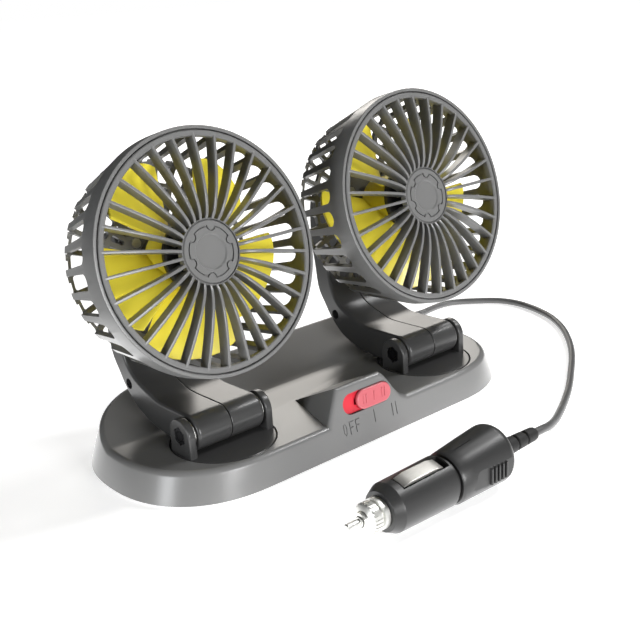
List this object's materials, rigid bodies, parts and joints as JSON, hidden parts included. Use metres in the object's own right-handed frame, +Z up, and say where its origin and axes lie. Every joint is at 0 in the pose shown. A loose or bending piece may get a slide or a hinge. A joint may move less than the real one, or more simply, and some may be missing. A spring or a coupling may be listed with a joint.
{
  "type": "dual head car fan",
  "caption": "Dashboard fan with twin caged heads on swivelling, tilting arms, a low base with a three-position slide switch, and a cord ending in a vehicle power plug.",
  "frame": {"origin": "centre of the base's underside, on the surface it rests on", "axes": "+Z up, +X to the right seen from the front, -Y towards the front that the heads blow to"},
  "size_m": [0.3006, 0.1873, 0.1478],
  "materials": {
    "grey_housing": "satin moulded housing",
    "dark_plastic": "dark satin plastic",
    "black_rubber": "soft matt rubber",
    "yellow_plastic": "glossy",
    "red_plastic": "satin red",
    "steel": "plated",
    "blackened_steel": "blackened",
    "board": "circuit board",
    "fuse_glass": "clear"
  },
  "bodies": {
    "base": {"base_shell": "grey_housing", "bottom_cover": "dark_plastic", "anti_slip_pad": "black_rubber", "circuit_board": "board", "switch_body": "red_plastic", "cord_grommet": "black_rubber", "power_cord": "black_rubber", "plug_relief": "black_rubber", "plug_handle": "dark_plastic", "plug_barrel": "dark_plastic", "plug_nut": "steel", "plug_spring": "steel", "plug_fuse": "fuse_glass", "cover_screw_1": "steel", "cover_screw_2": "steel", "cover_screw_3": "steel", "cover_screw_4": "steel"},
    "left_turntable": {"left_turntable": "grey_housing", "left_turntable_retainer": "steel", "left_turntable_screw": "steel", "left_hinge_bolt": "blackened_steel", "left_hinge_nut": "blackened_steel", "left_hinge_washer_left": "steel", "left_hinge_washer_right": "steel"},
    "left_head": {"left_arm_left_half": "grey_housing", "left_arm_right_half": "grey_housing", "left_arm_screw_1": "steel", "left_arm_screw_2": "steel", "left_rear_cage": "grey_housing", "left_front_grille": "grey_housing", "left_hub_cap": "grey_housing", "left_motor": "dark_plastic", "left_head_screw": "steel"},
    "left_fan": {"left_impeller": "yellow_plastic", "left_impeller_cap": "dark_plastic", "left_motor_shaft": "steel"},
    "right_turntable": {"right_turntable": "grey_housing", "right_turntable_retainer": "steel", "right_turntable_screw": "steel", "right_hinge_bolt": "blackened_steel", "right_hinge_nut": "blackened_steel", "right_hinge_washer_left": "steel", "right_hinge_washer_right": "steel"},
    "right_head": {"right_arm_left_half": "grey_housing", "right_arm_right_half": "grey_housing", "right_arm_screw_1": "steel", "right_arm_screw_2": "steel", "right_rear_cage": "grey_housing", "right_front_grille": "grey_housing", "right_hub_cap": "grey_housing", "right_motor": "dark_plastic", "right_head_screw": "steel"},
    "right_fan": {"right_impeller": "yellow_plastic", "right_impeller_cap": "dark_plastic", "right_motor_shaft": "steel"},
    "switch_slider": {"switch_slider": "red_plastic"},
    "plug_pin": {"plug_pin": "steel"},
    "side_contact_1": {"side_contact_1": "steel"},
    "side_contact_2": {"side_contact_2": "steel"}
  },
  "joints": [
    {"name": "left_swivel", "type": "hinge", "parent": "base", "child": "left_turntable", "pos_m": [-0.0616, -0.0204, 0.0142], "axis": [0, 0, 1], "range_deg": [-35, 35]},
    {"name": "left_tilt", "type": "hinge", "parent": "left_turntable", "child": "left_head", "pos_m": [-0.0616, -0.0204, 0.0227], "axis": [1, 0, 0], "range_deg": [0, 20]},
    {"name": "left_spin", "type": "hinge", "parent": "left_head", "child": "left_fan", "pos_m": [-0.0616, -0.0252, 0.0985], "axis": [0, -0.9625, 0.2713], "continuous": true},
    {"name": "right_swivel", "type": "hinge", "parent": "base", "child": "right_turntable", "pos_m": [0.0616, -0.0204, 0.0142], "axis": [0, 0, 1], "range_deg": [-35, 35]},
    {"name": "right_tilt", "type": "hinge", "parent": "right_turntable", "child": "right_head", "pos_m": [0.0616, -0.0204, 0.0227], "axis": [1, 0, 0], "range_deg": [0, 20]},
    {"name": "right_spin", "type": "hinge", "parent": "right_head", "child": "right_fan", "pos_m": [0.0616, -0.0252, 0.0985], "axis": [0, -0.9625, 0.2713], "continuous": true},
    {"name": "switch_slide", "type": "slide", "parent": "base", "child": "switch_slider", "axis": [-1, 0, 0], "range_m": [0, 0.0076]},
    {"name": "pin_press", "type": "slide", "parent": "base", "child": "plug_pin", "axis": [1, 0, 0], "range_m": [0, 0.003], "stiffness_N_per_m": 400, "springref_m": -0.002},
    {"name": "contact_1_press", "type": "slide", "parent": "base", "child": "side_contact_1", "axis": [0, 0.225, -0.9744], "range_m": [0, 0.0012], "stiffness_N_per_m": 300, "springref_m": -0.001},
    {"name": "contact_2_press", "type": "slide", "parent": "base", "child": "side_contact_2", "axis": [0, -0.225, 0.9744], "range_m": [0, 0.0012], "stiffness_N_per_m": 300, "springref_m": -0.001}
  ]
}
